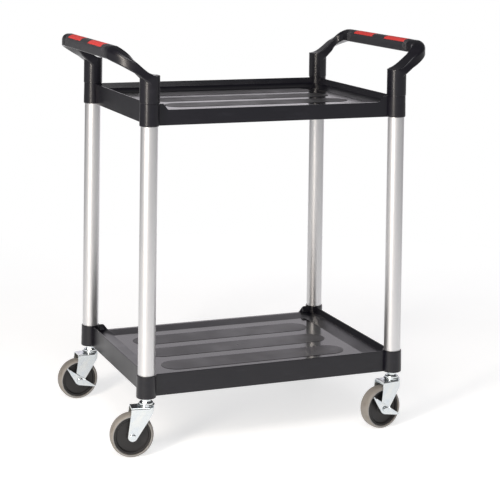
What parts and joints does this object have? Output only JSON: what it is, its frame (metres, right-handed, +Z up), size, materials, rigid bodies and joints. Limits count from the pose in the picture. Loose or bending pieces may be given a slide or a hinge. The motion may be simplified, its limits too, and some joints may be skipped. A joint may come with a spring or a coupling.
{
  "type": "food service trolley",
  "caption": "Two-tier service trolley: moulded black trays on tube posts, raised bow handles with soft grips, and swivel castors, some with a foot brake.",
  "frame": {"origin": "on the floor, under the middle of the rectangle of the four posts", "axes": "+X along the trays' long side towards the right handle, +Y towards the rear, +Z up"},
  "size_m": [0.8098, 0.5293, 0.9355],
  "materials": {
    "black_plastic": "satin moulded polypropylene",
    "aluminium": "satin anodised tube",
    "soft_grey": "soft-touch dark grey",
    "red_rubber": "ribbed red",
    "zinc": "bright zinc plated steel",
    "hub_plastic": "black nylon",
    "tyre_rubber": "grey non-marking rubber"
  },
  "bodies": {
    "frame": {"upper_tray": "black_plastic", "lower_tray": "black_plastic", "post_front_left": "aluminium", "post_front_right": "aluminium", "post_rear_left": "aluminium", "post_rear_right": "aluminium", "handle_left": "black_plastic", "handle_right": "black_plastic", "grip_left": "soft_grey", "grip_right": "soft_grey", "grip_insert_left_front": "red_rubber", "grip_insert_left_rear": "red_rubber", "grip_insert_right_front": "red_rubber", "grip_insert_right_rear": "red_rubber", "stem_socket_front_left": "hub_plastic", "stem_socket_front_right": "hub_plastic", "stem_socket_rear_left": "hub_plastic", "stem_socket_rear_right": "hub_plastic", "castor_front_left_stem": "zinc", "castor_front_left_stem_nut": "zinc", "castor_front_left_cap": "zinc", "castor_front_right_stem": "zinc", "castor_front_right_stem_nut": "zinc", "castor_front_right_cap": "zinc", "castor_rear_left_stem": "zinc", "castor_rear_left_stem_nut": "zinc", "castor_rear_left_cap": "zinc", "castor_rear_right_stem": "zinc", "castor_rear_right_stem_nut": "zinc", "castor_rear_right_cap": "zinc"},
    "front_left_fork": {"castor_front_left_fork": "zinc", "castor_front_left_axle": "zinc", "castor_front_left_axle_nut": "zinc", "castor_front_left_sleeve": "zinc"},
    "front_left_wheel": {"castor_front_left_hub": "hub_plastic", "castor_front_left_tyre": "tyre_rubber"},
    "front_right_fork": {"castor_front_right_fork": "zinc", "castor_front_right_axle": "zinc", "castor_front_right_axle_nut": "zinc", "castor_front_right_sleeve": "zinc", "castor_front_right_brake_cam": "zinc"},
    "front_right_wheel": {"castor_front_right_hub": "hub_plastic", "castor_front_right_tyre": "tyre_rubber"},
    "front_right_brake": {"castor_front_right_brake_lever": "zinc"},
    "rear_left_fork": {"castor_rear_left_fork": "zinc", "castor_rear_left_axle": "zinc", "castor_rear_left_axle_nut": "zinc", "castor_rear_left_sleeve": "zinc", "castor_rear_left_brake_cam": "zinc"},
    "rear_left_wheel": {"castor_rear_left_hub": "hub_plastic", "castor_rear_left_tyre": "tyre_rubber"},
    "rear_left_brake": {"castor_rear_left_brake_lever": "zinc"},
    "rear_right_fork": {"castor_rear_right_fork": "zinc", "castor_rear_right_axle": "zinc", "castor_rear_right_axle_nut": "zinc", "castor_rear_right_sleeve": "zinc"},
    "rear_right_wheel": {"castor_rear_right_hub": "hub_plastic", "castor_rear_right_tyre": "tyre_rubber"}
  },
  "joints": [
    {"name": "front_left_swivel", "type": "hinge", "parent": "frame", "child": "front_left_fork", "pos_m": [-0.3137, -0.2306, 0.118], "axis": [0, 0, 1], "continuous": true},
    {"name": "front_left_spin", "type": "hinge", "parent": "front_left_fork", "child": "front_left_wheel", "pos_m": [-0.34593, -0.22573, 0.05], "axis": [-0.1495, -0.9888, 0], "continuous": true},
    {"name": "front_right_swivel", "type": "hinge", "parent": "frame", "child": "front_right_fork", "pos_m": [0.3137, -0.2306, 0.118], "axis": [0, 0, 1], "continuous": true},
    {"name": "front_right_spin", "type": "hinge", "parent": "front_right_fork", "child": "front_right_wheel", "pos_m": [0.28142, -0.23514, 0.05], "axis": [0.1392, -0.9903, 0], "continuous": true},
    {"name": "front_right_brake", "type": "hinge", "parent": "front_right_fork", "child": "front_right_brake", "pos_m": [0.28142, -0.23514, 0.05], "axis": [0.1392, -0.9903, 0], "range_deg": [0, 28]},
    {"name": "rear_left_swivel", "type": "hinge", "parent": "frame", "child": "rear_left_fork", "pos_m": [-0.3137, 0.2306, 0.118], "axis": [0, 0, 1], "continuous": true},
    {"name": "rear_left_spin", "type": "hinge", "parent": "rear_left_fork", "child": "rear_left_wheel", "pos_m": [-0.3463, 0.2302, 0.05], "axis": [0.0122, -0.9999, 0], "continuous": true},
    {"name": "rear_left_brake", "type": "hinge", "parent": "rear_left_fork", "child": "rear_left_brake", "pos_m": [-0.3463, 0.2302, 0.05], "axis": [0.0122, -0.9999, 0], "range_deg": [0, 28]},
    {"name": "rear_right_swivel", "type": "hinge", "parent": "frame", "child": "rear_right_fork", "pos_m": [0.3137, 0.2306, 0.118], "axis": [0, 0, 1], "continuous": true},
    {"name": "rear_right_spin", "type": "hinge", "parent": "rear_right_fork", "child": "rear_right_wheel", "pos_m": [0.28128, 0.23401, 0.05], "axis": [-0.1045, -0.9945, 0], "continuous": true}
  ]
}
